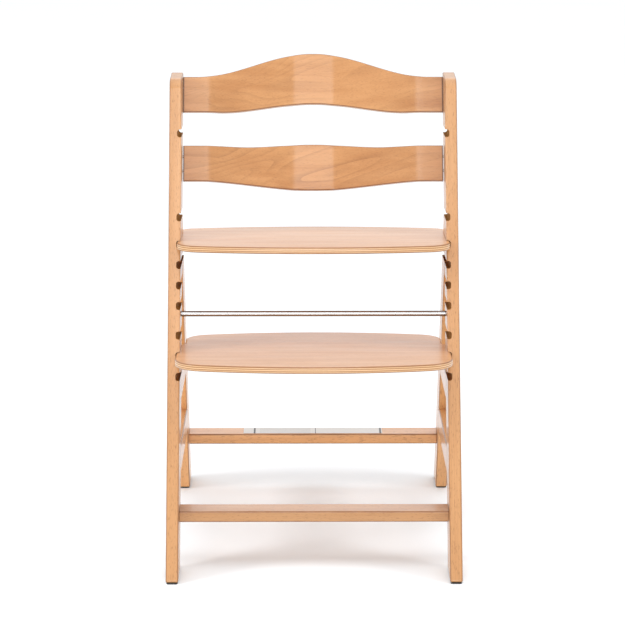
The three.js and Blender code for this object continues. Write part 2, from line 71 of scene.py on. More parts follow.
# ---------------------------------------------------------------- driving dimensions
POST_LEAN = math.radians(25.5)  # from upright, towards the rear
POST_DEPTH = 0.0666
LEG_LEAN = math.radians(-22.3)  # from upright, towards the front
LEG_DEPTH = 0.0608
RAIL_LEAN = math.radians(93)  # a rail runs to the rear and falls a little
RAIL_HEIGHT = 0.039
BOARD = 0.020
JOINT_GAP = 0.0003
TOP_FRONT_ROUND = 0.025
CORNER_ROUND = 0.003
TOP_REAR_ROUND = 0.006
ARRIS = 0.0024  # the rounding along the long edges of the boards
OVERRUN = 0.005

GROOVE_TILT = math.radians(4.5)
GROOVE_HEIGHT = 0.0122
GROOVE_DEPTH = 0.007
GROOVE_CORNER = 0.004
GROOVE_PITCH = 0.0304
LOWER_GROOVES = [0.3005 + step * GROOVE_PITCH for step in range(3)]
MIDDLE_GROOVES = [0.405 + step * GROOVE_PITCH for step in range(4)]
UPPER_GROOVES = [0.537, 0.6635]
POST_GROOVES = LOWER_GROOVES + MIDDLE_GROOVES + UPPER_GROOVES
LEG_GROOVES = MIDDLE_GROOVES[2:] + UPPER_GROOVES[:1]
FOOT_GROOVE = LOWER_GROOVES[1]
SEAT_GROOVE = MIDDLE_GROOVES[3]

PLATE_THICKNESS = 0.011
PLATE_EDGE_ROUND = 0.0028
PLATE_ARC_INSET = 0.050
SEAT_PLATE = {"front": 0.067, "rear": 0.163, "arc_radius": 1.05, "front_corner": 0.040,
              "rear_corner": 0.025, "shoulder": None}
FOOT_PLATE = {"front": 0.118, "rear": 0.179, "arc_radius": 0.82, "front_corner": 0.052,
              "rear_corner": 0.042, "shoulder": (0.068, 0.076, 0.004, 0.210)}

SLAT_THICKNESS = 0.010
SLAT_SETBACK = 0.047  # from the post's front face to the front of a slat's ends
SLAT_BOW = 0.030
SLAT_TAB = 0.036
SLAT_FLAT_MIDDLE = 0.054
SLAT_BEND = 0.014
SLAT_WAVE_START = 0.005
SLAT_EDGE_ROUND = 0.0022
# As shares of that rounding, counted from the slat's face.
SLAT_PLIES_SHOW_FROM = 0.1
SLAT_ARRIS_ENDS_AT = 0.9
UPPER_SLAT = {"bottom": 0.784, "top": 0.844, "crest": (0.048, 0.190), "rise": (0.0215, 0.160)}
LOWER_SLAT = {"bottom": 0.667, "top": 0.727, "crest": (0.009, 0.125), "rise": (-0.0085, 0.190)}
SLAT_END_ROUND = 0.0005
SLAT_STATIONS = 80
SLAT_JOINT_LINE = 0.0012  # darkened at both ends with painted shade, the shadow in the gap at the posts
PLY_LAYERS = 7
JUST_UNDER_ONE = 0.9999  # keeps the last face inside the last layer

FIT_GAP = 0.0003
BOLT = {"recess": 0.0055, "head": 0.0045, "shaft": 0.003, "key": 0.0024, "socket": 0.0025}
SCREW = {"recess": 0.0036, "head": 0.003, "shaft": 0.0022, "key": 0.0018, "socket": 0.0016}
HEAD_EASE = 0.25  # of a head's height
SOCKET_MOUTH = 1.06  # of the socket's width
ROD_END_EASE = 0.12  # of the rod's radius
RAIL_BOTTOMS = {"lower_side_rail": 0.140, "upper_side_rail": 0.248}  # at the post
BAR_EDGE_ROUND = 0.0022
BAR_END_ROUND = 0.0004
INSIDE = 0.98  # leaves out the vertices right at a rounding's end
GROOVE_LENGTH = (
    POST_DEPTH / math.cos(POST_LEAN) + LEG_DEPTH / math.cos(LEG_LEAN) + 3 * OVERRUN
)

ARC_STEP = math.radians(7.5)
ARRIS_STEPS = 4
PLATE_ARC_STEPS = 14
SMALLEST_RADIUS = 0.0002
SHARP_FROM = math.radians(38)

# ---------------------------------------------------------------- places read from the frame
post_low, post_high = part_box("right_post")
INNER_X, OUTER_X = post_low.x, post_high.x
FOOT_Z, POST_TOP_Z = post_low.z, post_high.z
rod_low, rod_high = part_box("tie_rod")
ROD = (rod_low + rod_high) / 2
ROD_RADIUS = (rod_high.z - rod_low.z) / 2
FRONT_LINE_Y = ROD.y - ROD.z * math.tan(POST_LEAN) - POST_DEPTH / 2 / math.cos(POST_LEAN)


def post_front_y(z):
    return FRONT_LINE_Y + z * math.tan(POST_LEAN)


def post_rear_y(z):
    return post_front_y(z) + POST_DEPTH / math.cos(POST_LEAN)


rear_bar_low, rear_bar_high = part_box("rear_crossbar")
REAR_BAR = (rear_bar_low + rear_bar_high) / 2


def leg_middle_y(z):
    """The rear crossbar's middle lies on the leg's middle line."""
    return REAR_BAR.y + (z - REAR_BAR.z) * math.tan(LEG_LEAN)


def leg_front_y(z):
    return leg_middle_y(z) - LEG_DEPTH / 2 / math.cos(LEG_LEAN)


def leg_rear_y(z):
    return leg_middle_y(z) + LEG_DEPTH / 2 / math.cos(LEG_LEAN)


# ---------------------------------------------------------------- shader helpers
def add(tree, kind, inputs=None, **settings):
    """A new node with its settings; an input is a value or another node's output."""
    node = tree.nodes.new(kind)
    for key, value in settings.items():
        setattr(node, key, value)
    for key, value in (inputs or {}).items():
        if isinstance(value, bpy.types.NodeSocket):
            tree.links.new(value, node.inputs[key])
        else:
            node.inputs[key].default_value = value
    return node


def new_material(name):
    """An empty material and its tree."""
    material = bpy.data.materials.new(name)
    material.use_nodes = True
    material.node_tree.nodes.clear()
    return material, material.node_tree


def finish_material(tree, principled):
    output = tree.nodes.new("ShaderNodeOutputMaterial")
    tree.links.new(principled.outputs["BSDF"], output.inputs["Surface"])


def ramp(tree, factor, stops):
    """A colour ramp through (position, grey or colour) stops."""
    node = add(tree, "ShaderNodeValToRGB", {"Fac": factor})
    elements = node.color_ramp.elements
    while len(elements) < len(stops):
        elements.new(1.0)
    for element, (position, value) in zip(elements, stops):
        element.position = position
        element.color = (value, value, value, 1) if isinstance(value, float) else (*value, 1)
    return node.outputs["Color"]


def mix(tree, factor, first, second, blend="MIX"):
    node = add(tree, "ShaderNodeMix", data_type="RGBA", blend_type=blend)
    for key, value in ((0, factor), (6, first), (7, second)):
        if isinstance(value, bpy.types.NodeSocket):
            tree.links.new(value, node.inputs[key])
        elif key == 0:
            node.inputs[key].default_value = value
        else:
            node.inputs[key].default_value = (*value, 1)
    return node.outputs[2]


def math_node(tree, operation, *values):
    node = add(tree, "ShaderNodeMath", operation=operation)
    for index, value in enumerate(values):
        if isinstance(value, bpy.types.NodeSocket):
            tree.links.new(value, node.inputs[index])
        else:
            node.inputs[index].default_value = value
    return node.outputs["Value"]


def stretched(tree, space, along, across):
    """The grain space scaled by one amount along the grain and another across it."""
    mapping = add(tree, "ShaderNodeMapping", {"Vector": space, "Scale": (along, across, across)})
    return mapping.outputs["Vector"]


def noise(tree, space, along, across, detail=2.0):
    node = add(
        tree,
        "ShaderNodeTexNoise",
        {"Vector": stretched(tree, space, along, across), "Scale": 1.0, "Detail": detail},
    )
    return node.outputs["Fac"]


# ---------------------------------------------------------------- wood
BEECH_LIGHT = (0.530, 0.275, 0.115)
BEECH_DARK = (0.440, 0.205, 0.072)
BEECH_FLECK = (0.170, 0.062, 0.020)
VENEER_LIGHT = (0.660, 0.350, 0.170)
VENEER_DARK = (0.590, 0.290, 0.130)
SLAT_LIGHT = (0.520, 0.255, 0.098)
SLAT_DARK = (0.400, 0.170, 0.055)
PLY_EDGE_LIGHT = (0.720, 0.460, 0.240)
PLY_EDGE_DARK = (0.340, 0.160, 0.058)
# Dark glue between the plies, and painted shade at the slats' ends where they meet the posts.
GLUE_LINE_AND_JOINT_SHADE = (0.130, 0.052, 0.018)
# Painted shade: the dark of the grooves, bores and recesses, laid into the bare wood's colour.
RAW_WOOD_IN_SHADE = (0.215, 0.092, 0.012)
# Painted shade: the dark line that shade draws along every rounded edge.
EDGE_SHADE = (0.230, 0.095, 0.032)
# The growth lines' strength, number, slant and stretch along the board.
BEECH_FIGURE = (0.16, 30, 0.0, 0.35)
PLATE_FIGURE = (0.10, 24, 0.0, 0.5)
SLAT_FIGURES = {  # by seed: the upper slat is plainer than the lower one
    1: (0.20, 30, math.radians(14), 0.45),
    2: (0.40, 30, math.radians(14), 0.45),
}
BEECH_FLECKS = 0.42
VENEER_FLECKS = 0.22
# The noises in the wood: how many per metre along the grain and across it, and their detail.
STREAKS = (2.5, 55, 3.0)
PATCHES = (5, 14, 2.0)
PATCH_STRENGTH = 0.35
SHORT_MARKS = (130, 850, 1.0)
FIBRES = (22, 1200, 2.0)
RAW_FIBRES = (60, 900, 2.0)
END_GRAIN = (900, 900, 1.0)
WHERE_LINES_SHOW = (5, 22, 2.0)
WHERE_EDGES_DARKEN = (30, 90, 2.0)
WHERE_GLOSS_VARIES = (8, 40, 2.0)
FIGURE_ACROSS = 10
FIGURE_DETAIL = 1.6
LACQUER = {
    "Coat Weight": 0.7,
    "Coat Roughness": 0.19,
    "Coat IOR": 1.5,
    "Specular IOR Level": 0.25,
}


def grain_space(tree, lean, offset):
    """Object coordinates turned so that X runs along the grain. Lean None keeps the grain along X."""
    place = add(tree, "ShaderNodeTexCoord").outputs["Object"]
    turn = (0, 0, 0) if lean is None else (lean - math.pi / 2, 0, -math.pi / 2)
    mapping = add(
        tree, "ShaderNodeMapping", {"Vector": place, "Rotation": turn, "Location": offset}
    )
    return mapping.outputs["Vector"]


def growth_lines(tree, space, lines, slant, stretch):
    """Growth rings cut at a flat angle: thin dark lines nested in long arches, here and there."""
    turned_space = add(tree, "ShaderNodeMapping", {"Vector": space, "Rotation": (0, slant, 0)})
    turned_space = turned_space.outputs["Vector"]
    figure = noise(tree, turned_space, stretch, FIGURE_ACROSS, FIGURE_DETAIL)
    ring = math_node(tree, "FRACT", math_node(tree, "MULTIPLY", figure, lines))
    line = ramp(tree, ring, [(0.0, 0.0), (0.50, 0.10), (0.90, 0.8), (0.96, 1.0), (1.0, 0.0)])
    here = ramp(tree, noise(tree, turned_space, *WHERE_LINES_SHOW), [(0.38, 0.10), (0.60, 1.0)])
    return math_node(tree, "MULTIPLY", line, here)


def wood_colour(tree, space, light, dark, figure, flecks):
    """Broad streaks, growth lines, fine fibres and the short dark flecks that beech has.
    A figure is the growth lines' strength, number, slant and stretch along the board."""
    strength, lines, slant, stretch = figure
    streaks = ramp(tree, noise(tree, space, *STREAKS), [(0.30, 0.0), (0.70, 1.0)])
    patches = ramp(tree, noise(tree, space, *PATCHES), [(0.35, 0.0), (0.65, 1.0)])
    base = mix(tree, streaks, dark, light)
    base = mix(tree, math_node(tree, "MULTIPLY", patches, PATCH_STRENGTH), base, light)
    grown = math_node(tree, "MULTIPLY", growth_lines(tree, space, lines, slant, stretch), strength)
    base = mix(tree, grown, base, BEECH_FLECK)
    short_marks = ramp(tree, noise(tree, space, *SHORT_MARKS), [(0.60, 0.0), (0.68, 1.0)])
    base = mix(tree, math_node(tree, "MULTIPLY", short_marks, flecks), base, BEECH_FLECK)
    fibres = noise(tree, space, *FIBRES)
    tone = ramp(tree, fibres, [(0.25, 0.88), (0.75, 1.0)])
    return mix(tree, 1.0, base, tone, "MULTIPLY"), fibres


def lacquered(tree, space, colour, fibres):
    """Satin clear lacquer over the wood; the rounded edges are darkened with painted shade, standing in
    for the shadow line along each rounding.
    """
    arris = add(tree, "ShaderNodeAttribute", attribute_name="arris").outputs["Fac"]
    patchy_shade = ramp(tree, noise(tree, space, *WHERE_EDGES_DARKEN), [(0.35, 0.70), (0.60, 1.0)])
    colour = mix(tree, math_node(tree, "MULTIPLY", arris, patchy_shade), colour, EDGE_SHADE)
    spread = noise(tree, space, *WHERE_GLOSS_VARIES)
    roughness = add(
        tree,
        "ShaderNodeMapRange",
        {"Value": spread, "From Min": 0.3, "From Max": 0.7, "To Min": 0.40, "To Max": 0.52},
    )
    bump = add(tree, "ShaderNodeBump", {"Height": fibres, "Strength": 0.25, "Distance": 0.00012})
    return add(
        tree,
        "ShaderNodeBsdfPrincipled",
        {
            "Base Color": colour,
            "Roughness": roughness.outputs["Result"],
            "Normal": bump.outputs["Normal"],
            **LACQUER,
        },
    )


def shaded_raw_wood(name):
    """Bare milled wood, as left by the cutter in a groove, painted far darker than bare beech as the
    shade inside the cut.
    """
    material, tree = new_material(name)
    space = grain_space(tree, POST_LEAN, (0.3, 0.1, 0.2))
    fibres = noise(tree, space, *RAW_FIBRES)
    colour = mix(tree, math_node(tree, "MULTIPLY", fibres, 0.4), RAW_WOOD_IN_SHADE, BEECH_DARK)
    bump = add(tree, "ShaderNodeBump", {"Height": fibres, "Strength": 0.5, "Distance": 0.0003})
    roughness = add(tree, "ShaderNodeMapRange", {"Value": fibres, "To Min": 0.75, "To Max": 0.95})
    shader = add(
        tree,
        "ShaderNodeBsdfPrincipled",
        {"Base Color": colour, "Roughness": roughness.outputs["Result"],
         "Specular IOR Level": 0.1,
         "Normal": bump.outputs["Normal"]},
    )
    finish_material(tree, shader)
    return material


def beech(name, lean, seed, tone=1.0):
    """Solid beech; each piece has its own stretch of grain, and its tone makes it paler as painted
    light or darker as painted shade.
    """
    material, tree = new_material(name)
    offset = (0.37 * seed, 0.11 * seed, 0.071 * seed)
    space = grain_space(tree, lean, offset)
    light, dark = ([channel * tone for channel in shade] for shade in (BEECH_LIGHT, BEECH_DARK))
    colour, fibres = wood_colour(tree, space, light, dark, BEECH_FIGURE, BEECH_FLECKS)
    finish_material(tree, lacquered(tree, space, colour, fibres))
    return material


def plywood(name, seed, light, dark, figure):
    """Beech plywood: veneer on the faces and thin crossing layers along every edge."""
    material, tree = new_material(name)
    space = grain_space(tree, None, (0.23 * seed, 0.17 * seed, 0.05 * seed))
    face, fibres = wood_colour(tree, space, light, dark, figure, VENEER_FLECKS)

    depth = add(tree, "ShaderNodeAttribute", attribute_name="ply_depth").outputs["Fac"]
    layer = math_node(tree, "MULTIPLY", depth, PLY_LAYERS * JUST_UNDER_ONE)
    odd = math_node(tree, "MODULO", math_node(tree, "FLOOR", layer), 2.0)
    grain_ends = noise(tree, space, *END_GRAIN)
    layers = mix(tree, odd, PLY_EDGE_DARK, PLY_EDGE_LIGHT)
    layers = mix(tree, math_node(tree, "MULTIPLY", grain_ends, 0.3), layers, BEECH_FLECK)
    seam = math_node(tree, "PINGPONG", layer, 0.5)
    glue = ramp(tree, seam, [(0.0, 1.0), (0.09, 0.0)])
    layers = mix(tree, math_node(tree, "MULTIPLY", glue, 0.45), layers, GLUE_LINE_AND_JOINT_SHADE)

    on_edge = add(tree, "ShaderNodeAttribute", attribute_name="ply_edge").outputs["Fac"]
    colour = mix(tree, ramp(tree, on_edge, [(0.35, 0.0), (0.55, 1.0)]), face, layers)
    # Painted shade at the slats' ends, where they meet the posts.
    at_joint = add(tree, "ShaderNodeAttribute", attribute_name="joint").outputs["Fac"]
    colour = mix(tree, at_joint, colour, GLUE_LINE_AND_JOINT_SHADE)
    finish_material(tree, lacquered(tree, space, colour, fibres))
    return material


def slat_veneer(name, seed):
    return plywood(name, seed, SLAT_LIGHT, SLAT_DARK, SLAT_FIGURES[seed])


def plate_veneer(name, seed):
    return plywood(name, seed, VENEER_LIGHT, VENEER_DARK, PLATE_FIGURE)


# ---------------------------------------------------------------- other finishes
STEEL_DARK = (0.34, 0.34, 0.345)
STEEL_LIGHT = (0.42, 0.42, 0.425)
STEEL_AT_A_SLANT = (0.20, 0.19, 0.19, 1)
GLIDE_BLACK = (0.030, 0.026, 0.024)
GLIDE_SCUFF = (0.085, 0.078, 0.072)
LABEL_WHITE = (0.57, 0.57, 0.56)
LABEL_PALE = (0.64, 0.64, 0.63)
LABEL_INK = (0.025, 0.025, 0.03)
LABEL_RULES = [(-0.101, 0.0030), (0.0045, 0.0012), (0.117, 0.0032)]  # place across, width
LABEL_ROW_PITCH = 0.0062
LABEL_ROW_WIDTH = 0.0014
LABEL_ROW_STRENGTH = 0.4
LABEL_ROWS_MIDDLE = -0.048
LABEL_ROWS_HALF_WIDTH = 0.044


def steel(name):
    """Drawn steel: fine lines along the rod and small changes of gloss."""
    material, tree = new_material(name)
    space = grain_space(tree, None, (0, 0, 0))
    lines = noise(tree, space, 0.4, 450, 1.0)
    colour = mix(tree, lines, STEEL_DARK, STEEL_LIGHT)
    roughness = add(tree, "ShaderNodeMapRange", {"Value": lines, "To Min": 0.17, "To Max": 0.20})
    bump = add(tree, "ShaderNodeBump", {"Height": lines, "Strength": 0.02, "Distance": 0.00002})
    shader = add(
        tree,
        "ShaderNodeBsdfPrincipled",
        {"Base Color": colour, "Roughness": roughness.outputs["Result"], "Metallic": 1.0,
         "Specular Tint": STEEL_AT_A_SLANT, "Normal": bump.outputs["Normal"]},
    )
    finish_material(tree, shader)
    return material


def glide_plastic(name):
    """Dark matt plastic with a fine moulded texture and scuffs."""
    material, tree = new_material(name)
    space = grain_space(tree, None, (0, 0, 0))
    texture = noise(tree, space, 1500, 1500, 2.0)
    scuffs = ramp(tree, noise(tree, space, 90, 300, 3.0), [(0.55, 0.0), (0.75, 1.0)])
    colour = mix(tree, scuffs, GLIDE_BLACK, GLIDE_SCUFF)
    roughness = add(tree, "ShaderNodeMapRange", {"Value": texture, "To Min": 0.55, "To Max": 0.8})
    bump = add(tree, "ShaderNodeBump", {"Height": texture, "Strength": 0.3, "Distance": 0.0001})
    shader = add(
        tree,
        "ShaderNodeBsdfPrincipled",
        {"Base Color": colour, "Roughness": roughness.outputs["Result"],
         "Normal": bump.outputs["Normal"]},
    )
    finish_material(tree, shader)
    return material


def label_film(name):
    """White film, a little mottled, with plain dark bars and faint ruled rows, no lettering."""
    material, tree = new_material(name)
    space = grain_space(tree, None, (0, 0, 0))
    mottle = noise(tree, space, 120, 120, 3.0)
    colour = mix(tree, mottle, LABEL_WHITE, LABEL_PALE)
    across = add(tree, "ShaderNodeSeparateXYZ", {"Vector": space}).outputs["X"]
    for place, width in LABEL_RULES:
        distance = math_node(tree, "ABSOLUTE", math_node(tree, "SUBTRACT", across, place))
        inside = math_node(tree, "LESS_THAN", distance, width / 2)
        colour = mix(tree, inside, colour, LABEL_INK)
    along = add(tree, "ShaderNodeSeparateXYZ", {"Vector": space}).outputs["Y"]
    past_row = math_node(tree, "MODULO", along, LABEL_ROW_PITCH)
    row = math_node(tree, "LESS_THAN", past_row, LABEL_ROW_WIDTH)
    written = math_node(tree, "COMPARE", across, LABEL_ROWS_MIDDLE, LABEL_ROWS_HALF_WIDTH)
    row = math_node(tree, "MULTIPLY", math_node(tree, "MULTIPLY", row, written), LABEL_ROW_STRENGTH)
    colour = mix(tree, row, colour, LABEL_INK)
    roughness = add(tree, "ShaderNodeMapRange", {"Value": mottle, "To Min": 0.35, "To Max": 0.5})
    shader = add(
        tree,
        "ShaderNodeBsdfPrincipled",
        {"Base Color": colour, "Roughness": roughness.outputs["Result"]},
    )
    finish_material(tree, shader)
    return material


# ---------------------------------------------------------------- outlines
def rounded_outline(corners):
    """Points round a closed outline of (x, y, radius) corners that runs anticlockwise."""
    points = []
    for index, (x, y, radius) in enumerate(corners):
        corner = Vector((x, y))
        before = (Vector(corners[index - 1][:2]) - corner).normalized()
        after = (Vector(corners[(index + 1) % len(corners)][:2]) - corner).normalized()
        if radius == 0:
            points.append(corner)
            continue
        half = before.angle(after) / 2
        centre = corner + (before + after).normalized() * radius / math.sin(half)
        start = corner + before * radius / math.tan(half) - centre
        turn = (math.pi - 2 * half) * (1 if before.cross(after) < 0 else -1)
        steps = max(2, math.ceil(abs(turn) / ARC_STEP))
        for step in range(steps + 1):
            points.append(centre + Matrix.Rotation(turn * step / steps, 2) @ start)
    return points


def inset_corners(corners, inset):
    """The same outline drawn in all round; its arcs keep their centres."""
    drawn_in = []
    for index, (x, y, radius) in enumerate(corners):
        corner = Vector((x, y))
        arriving = (corner - Vector(corners[index - 1][:2])).normalized()
        leaving = (Vector(corners[(index + 1) % len(corners)][:2]) - corner).normalized()
        inward = Vector((-arriving.y, arriving.x))
        bisector = (inward + Vector((-leaving.y, leaving.x))).normalized()
        moved = corner + bisector * inset / bisector.dot(inward)
        if radius > 0:
            convex = arriving.cross(leaving) > 0
            radius = max(radius - inset if convex else radius + inset, SMALLEST_RADIUS)
        drawn_in.append((moved.x, moved.y, radius))
    return drawn_in


# ---------------------------------------------------------------- meshes
def bridge(mesh, rings):
    """Joins rings of the same number of points with quads and closes both ends."""
    for ring, following in zip(rings, rings[1:]):
        for index, vertex in enumerate(ring):
            behind = index - 1
            mesh.faces.new((ring[behind], vertex, following[index], following[behind]))
    mesh.faces.new(reversed(rings[0]))
    mesh.faces.new(rings[-1])
    bmesh.ops.recalc_face_normals(mesh, faces=mesh.faces)


def marks(mesh):
    """What the wood shaders know of each vertex: its depth through the plies, from 0 to 1, and
    how far it is on a cut edge, on a rounded arris or at a joint. The arris and the joint take painted
    shade."""
    names = ("ply_depth", "ply_edge", "arris", "joint")
    return [mesh.verts.layers.float.new(name) for name in names]


def mark(vertex, layers, *values):
    for layer, value in zip(layers, values):
        vertex[layer] = value


def slab(corners, thickness, arris):
    """A board with its outline in X and Y, centred on Z = 0, whose long edges are rounded."""
    mesh = bmesh.new()
    layers = marks(mesh)
    turns = [math.pi / 2 * step / ARRIS_STEPS for step in range(ARRIS_STEPS + 1)] if arris else [0]
    lower = [
        (arris * (1 - math.sin(turn)), arris * (1 - math.cos(turn)) - thickness / 2, turn)
        for turn in turns
    ]
    profile = lower + [(inset, -height, turn) for inset, height, turn in reversed(lower)]
    rings = []
    for inset, height, turn in profile:
        ring = []
        for point in rounded_outline(inset_corners(corners, inset)):
            vertex = mesh.verts.new((point.x, point.y, height))
            mark(vertex, layers, height / thickness + 0.5, min(turn, 1.0), math.sin(2 * turn))
            ring.append(vertex)
        rings.append(ring)
    bridge(mesh, rings)
    return mesh


def turned(profile, sides=40):
    """A round solid along X through (x, radius) stations. A radius ("hex", r) makes a hexagon of
    that inner radius."""
    mesh = bmesh.new()
    marks(mesh)
    rings = []
    for x, radius in profile:
        ring = []
        for index in range(sides):
            turn = 2 * math.pi * index / sides
            reach = radius
            if isinstance(radius, tuple):
                from_flat = (turn + math.pi / 6) % (math.pi / 3) - math.pi / 6
                reach = radius[1] / math.cos(from_flat)
            ring.append(mesh.verts.new((x, reach * math.cos(turn), reach * math.sin(turn))))
        rings.append(ring)
    bridge(mesh, rings)
    return mesh


def joined(meshes):
    """One bmesh out of several, which are used up."""
    whole = bmesh.new()
    for mesh in meshes:
        part = bpy.data.meshes.new("part")
        mesh.to_mesh(part)
        mesh.free()
        whole.from_mesh(part)
        bpy.data.meshes.remove(part)
    return whole


def to_object(name, mesh):
    data = bpy.data.meshes.new(name)
    mesh.to_mesh(data)
    mesh.free()
    obj = bpy.data.objects.new(name, data)
    bpy.context.scene.collection.objects.link(obj)
    return obj


def apply_modifiers(obj):
    depsgraph = bpy.context.evaluated_depsgraph_get()
    finished = bpy.data.meshes.new_from_object(obj.evaluated_get(depsgraph))
    obj.modifiers.clear()
    obj.data = finished


def cut_away(obj, cutters):
    """Takes the cutters, which don't touch each other, out of the object; the cuts are bare wood
    darkened with painted shade.
    """
    tool = to_object("cutter", joined(cutters))
    give_material(tool, FINISHES["cut_in_shade"])
    boolean = obj.modifiers.new("cut", "BOOLEAN")
    boolean.operation = "DIFFERENCE"
    boolean.solver = "EXACT"
    boolean.material_mode = "TRANSFER"
    boolean.object = tool
    apply_modifiers(obj)
    bpy.data.objects.remove(tool)


def smooth(obj):
    """Soft shading on the roundings, with the flat faces kept flat."""
    for polygon in obj.data.polygons:
        polygon.use_smooth = True
    obj.data.set_sharp_from_angle(angle=SHARP_FROM)
    normals = obj.modifiers.new("normals", "WEIGHTED_NORMAL")
    normals.keep_sharp = True


def give_material(obj, material):
    obj.data.materials.clear()
    obj.data.materials.append(material)


def hand_over(obj, slot, *nodes):
    """The finished piece stands for its CAD nodes and moves with their body."""
    smooth(obj)
    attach(obj, BODY_OF_NODE[nodes[0]])
    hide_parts(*nodes)


# ---------------------------------------------------------------- side frames
# Takes a slab's X, Y and Z to the chair's Y, Z and X.
SIDE_TURN = Matrix(((0, 0, 1, 0), (1, 0, 0, 0), (0, 1, 0, 0), (0, 0, 0, 1)))
SIDES = (("left", -1), ("right", 1))


def side_board(corners, sign):
    mesh = slab(corners, BOARD, ARRIS)
    mesh.transform(Matrix.Translation((sign * (INNER_X + OUTER_X) / 2, 0, 0)) @ SIDE_TURN)
    return mesh


def post_corners():
    return [
        (post_front_y(FOOT_Z), FOOT_Z, CORNER_ROUND),
        (post_rear_y(FOOT_Z), FOOT_Z, CORNER_ROUND),
        (post_rear_y(POST_TOP_Z), POST_TOP_Z, TOP_REAR_ROUND),
        (post_front_y(POST_TOP_Z), POST_TOP_Z, TOP_FRONT_ROUND),
    ]


def meeting_z(first, second):
    """The height at which two straight lines y(z) cross."""
    gap = first(0) - second(0)
    closing = (second(1) - second(0)) - (first(1) - first(0))
    return gap / closing


def leg_corners():
    def joint_y(z):
        return post_rear_y(z) + JOINT_GAP / math.cos(POST_LEAN)

    crotch_z = meeting_z(leg_front_y, joint_y)
    tip_z = meeting_z(leg_rear_y, joint_y)
    return [
        (leg_front_y(FOOT_Z), FOOT_Z, CORNER_ROUND),
        (leg_rear_y(FOOT_Z), FOOT_Z, CORNER_ROUND),
        (joint_y(tip_z), tip_z, CORNER_ROUND),
        (joint_y(crotch_z), crotch_z, 0),
    ]


def rail_corners(bottom):
    """A rail from the post's rear to the leg's front; its bottom is given at the post."""
    fall = math.tan(RAIL_LEAN - math.pi / 2)

    def corner(edge_y, above, gap):
        slope = edge_y(1) - edge_y(0)
        at_floor = bottom + above - (edge_y(0) - post_rear_y(bottom)) * fall
        z = at_floor / (1 + slope * fall)
        return (edge_y(z) + gap, z, 0)

    gap = JOINT_GAP / math.cos(POST_LEAN)
    return [
        corner(post_rear_y, 0, gap),
        corner(leg_front_y, 0, -gap),
        corner(leg_front_y, RAIL_HEIGHT, -gap),
        corner(post_rear_y, RAIL_HEIGHT, gap),
    ]


def groove_cutter(height, sign):
    """A groove open at the inner face; its bottom corners are rounded."""
    mouth, bottom = sign * (INNER_X - OVERRUN), sign * (INNER_X + GROOVE_DEPTH)
    half = GROOVE_HEIGHT / 2
    corners = [
        (mouth, -half, 0),
        (bottom, -half, GROOVE_CORNER),
        (bottom, half, GROOVE_CORNER),
        (mouth, half, 0),
    ]
    mesh = slab(corners[::sign], GROOVE_LENGTH + OVERRUN, 0)
    mesh.transform(
        Matrix.Translation((0, post_front_y(height), height))
        @ Matrix.Rotation(-GROOVE_TILT, 4, "X")
        @ Matrix.Translation((0, (GROOVE_LENGTH - OVERRUN) / 2, 0))
        @ Matrix.Rotation(math.pi / 2, 4, "X")
    )
    bmesh.ops.recalc_face_normals(mesh, faces=mesh.faces)
    return mesh


def fasteners_in(side, piece):
    """The names of the bolts and screws whose heads lie in this board's outer face."""
    owners = {
        "post": ["front_crossbar_bolt", "tie_rod_bolt"]
        + [f"{slat}_back_slat_screw_{number}" for slat in ("upper", "lower") for number in (1, 2)],
        "rear_leg": ["rear_crossbar_bolt"],
    }
    return [f"{side}_{name}" for name in owners.get(piece, [])]


def recess_cutter(node, sign):
    low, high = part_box(node)
    centre = (low + high) / 2
    radius = (high.z - low.z) / 2 + FIT_GAP
    depth = (BOLT if "bolt" in node else SCREW)["recess"] + FIT_GAP
    mesh = turned([(-depth, radius), (OVERRUN, radius)])
    if sign < 0:
        mesh.transform(Matrix.Rotation(math.pi, 4, "Z"))
    mesh.transform(Matrix.Translation((sign * OUTER_X, centre.y, centre.z)))
    return mesh


# How pale each board is. The legs, side rails and rear crossbar are paler as painted light, standing in
# for light that reaches them too little, the left leg more than the right; the front crossbar is darker
# as painted shade from the foot plate above. A piece that isn't named here has the plain tone.
PAINTED_LIGHT_TONES = {
    "left_rear_leg": 1.48,
    "right_rear_leg": 1.27,
    "left_lower_side_rail": 1.35,
    "right_lower_side_rail": 1.35,
    "left_upper_side_rail": 1.35,
    "right_upper_side_rail": 1.35,
    "front_crossbar": 0.90,
    "rear_crossbar": 1.28,
}


def make_side_piece(side, sign, piece, corners, lean, grooves, seed):
    name = f"{side}_{piece}"
    board = to_object(name + "_wood", side_board(corners, sign))
    give_material(board, beech(f"beech_{name}", lean, seed, PAINTED_LIGHT_TONES.get(name, 1.0)))
    cutters = [groove_cutter(height, sign) for height in grooves]
    cutters += [recess_cutter(node, sign) for node in fasteners_in(side, piece)]
    if cutters:
        cut_away(board, cutters)
    hand_over(board, "beech", name)


def make_headed(node, part, sign):
    """A bolt or screw with a rounded head and a six-sided socket."""
    low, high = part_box(node)
    centre = (low + high) / 2
    head_radius = (high.z - low.z) / 2
    top = OUTER_X - (part["recess"] - part["head"])
    bearing = OUTER_X - part["recess"]
    inner_end = min(abs(low.x), abs(high.x))
    ease = part["head"] * HEAD_EASE
    profile = [
        (inner_end, part["shaft"]),
        (bearing, part["shaft"]),
        (bearing, head_radius),
        (top - ease, head_radius),
        (top - ease * 0.3, head_radius - ease * 0.3),
        (top, head_radius - ease),
        (top, ("hex", part["key"] * SOCKET_MOUTH)),
        (top - ease * 0.3, ("hex", part["key"])),
        (top - part["socket"], ("hex", part["key"])),
    ]
    mesh = turned(profile, 48)
    if sign < 0:
        mesh.transform(Matrix.Rotation(math.pi, 4, "Z"))
    mesh.transform(Matrix.Translation((0, centre.y, centre.z)))
    head = to_object(node + "_steel", mesh)
    give_material(head, FINISHES["steel"])
    hand_over(head, "steel", node)


